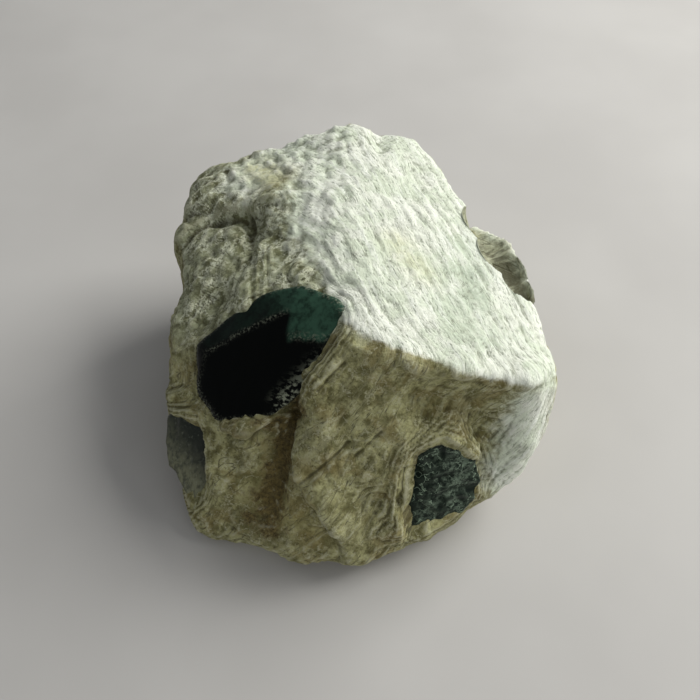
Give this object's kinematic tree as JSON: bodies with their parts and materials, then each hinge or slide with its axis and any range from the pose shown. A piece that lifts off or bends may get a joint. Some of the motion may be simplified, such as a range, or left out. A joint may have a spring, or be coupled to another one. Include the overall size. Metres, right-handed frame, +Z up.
{
  "type": "apache tears in perlite matrix",
  "caption": "Loose lump of pale fibrous perlite with dark glassy obsidian nodules, called Apache tears, still seated in it. Rests on a flat broken base.",
  "frame": {"origin": "middle of the footprint, on the flat base", "axes": "+Z up, -Y towards the side that shows the tears, +X to that side's right"},
  "size_m": [0.07, 0.0766, 0.043],
  "materials": {
    "perlite": "dull pale cream to olive-grey rock with a silky fibrous flow grain and brown stains in its recesses",
    "obsidian": "opaque black to bottle-green volcanic glass, glossy on fresh faces and frosted on chipped edges"
  },
  "bodies": {
    "root": {"perlite_matrix": "perlite", "large_tear": "obsidian", "small_tear": "obsidian", "side_tear": "obsidian"}
  },
  "joints": []
}
